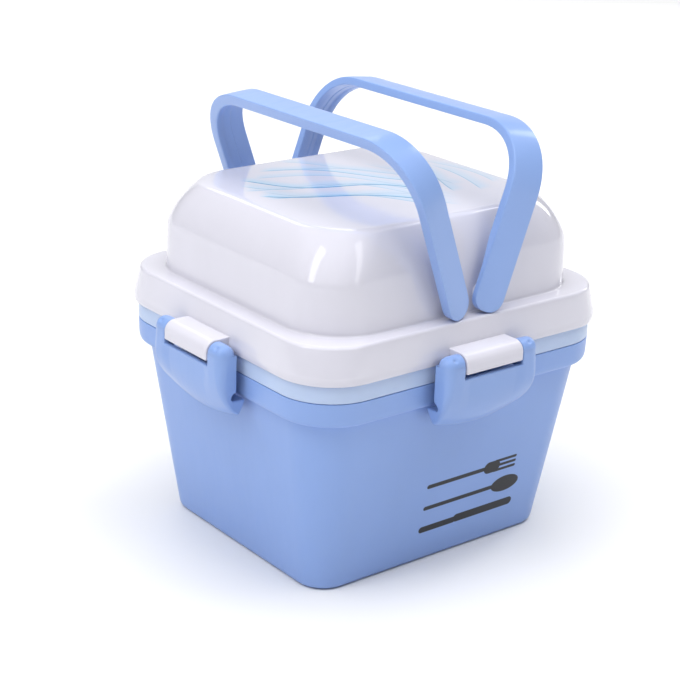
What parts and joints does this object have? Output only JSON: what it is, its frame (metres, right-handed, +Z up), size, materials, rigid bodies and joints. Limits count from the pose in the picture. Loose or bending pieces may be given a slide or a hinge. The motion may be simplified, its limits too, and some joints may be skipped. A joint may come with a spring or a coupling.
{
  "type": "bento lunch box",
  "caption": "Two-layer bento lunch box with a lift-out tray, domed lid, folding bail handles and swing latches.",
  "frame": {"origin": "centre of the base, on the surface the box stands on", "axes": "+Z up, -Y towards the front face, +X to the right; the handles' pivot axes run along Y"},
  "size_m": [0.2064, 0.1894, 0.2118],
  "materials": {
    "box_plastic": "satin moulded",
    "tray_plastic": "satin moulded",
    "lid_plastic": "high gloss",
    "handle_plastic": "satin moulded",
    "latch_plastic": "satin moulded",
    "silicone": "soft matte",
    "pin_steel": "drawn wire"
  },
  "bodies": {
    "box": {"outer_box": "box_plastic"},
    "tray": {"upper_tray": "tray_plastic", "tray_seal": "silicone"},
    "divider": {"tray_divider": "tray_plastic"},
    "lid": {"lid_shell": "lid_plastic", "lid_seal": "silicone", "hinge_pin_front": "pin_steel", "hinge_pin_right": "pin_steel", "hinge_pin_back": "pin_steel", "hinge_pin_left": "pin_steel"},
    "left_handle": {"handle_left": "handle_plastic", "pivot_cap_left_front": "lid_plastic", "pivot_cap_left_back": "lid_plastic"},
    "right_handle": {"handle_right": "handle_plastic", "pivot_cap_right_front": "lid_plastic", "pivot_cap_right_back": "lid_plastic"},
    "front_latch": {"latch_front": "latch_plastic"},
    "right_latch": {"latch_right": "latch_plastic"},
    "back_latch": {"latch_back": "latch_plastic"},
    "left_latch": {"latch_left": "latch_plastic"}
  },
  "joints": [
    {"name": "lid_lift", "type": "slide", "parent": "box", "child": "lid", "axis": [0, 0, 1], "range_m": [0, 0.09]},
    {"name": "tray_lift", "type": "slide", "parent": "box", "child": "tray", "axis": [0, 0, 1], "range_m": [0, 0.045]},
    {"name": "divider_lift", "type": "slide", "parent": "tray", "child": "divider", "axis": [0, 0, 1], "range_m": [0, 0.036]},
    {"name": "left_handle_swing", "type": "hinge", "parent": "lid", "child": "left_handle", "pos_m": [-0.0095, 0, 0.135], "axis": [0, 1, 0], "range_deg": [-70, 20]},
    {"name": "right_handle_swing", "type": "hinge", "parent": "lid", "child": "right_handle", "pos_m": [0.0095, 0, 0.135], "axis": [0, 1, 0], "range_deg": [-20, 70]},
    {"name": "front_latch_swing", "type": "hinge", "parent": "lid", "child": "front_latch", "pos_m": [0, -0.0894, 0.1115], "axis": [-1, 0, 0], "range_deg": [0, 120]},
    {"name": "right_latch_swing", "type": "hinge", "parent": "lid", "child": "right_latch", "pos_m": [0.0979, 0, 0.1115], "axis": [0, -1, 0], "range_deg": [0, 120]},
    {"name": "back_latch_swing", "type": "hinge", "parent": "lid", "child": "back_latch", "pos_m": [0, 0.0894, 0.1115], "axis": [1, 0, 0], "range_deg": [0, 120]},
    {"name": "left_latch_swing", "type": "hinge", "parent": "lid", "child": "left_latch", "pos_m": [-0.0979, 0, 0.1115], "axis": [0, 1, 0], "range_deg": [0, 120]}
  ],
  "couplings": [
    {"joint": "tray_lift", "follows": "lid_lift", "ratio": 0.5},
    {"joint": "divider_lift", "follows": "lid_lift", "ratio": 0.4},
    {"joint": "front_latch_swing", "follows": "lid_lift", "rad_per_m": 23.2},
    {"joint": "right_latch_swing", "follows": "lid_lift", "rad_per_m": 23.2},
    {"joint": "back_latch_swing", "follows": "lid_lift", "rad_per_m": 23.2},
    {"joint": "left_latch_swing", "follows": "lid_lift", "rad_per_m": 23.2}
  ]
}
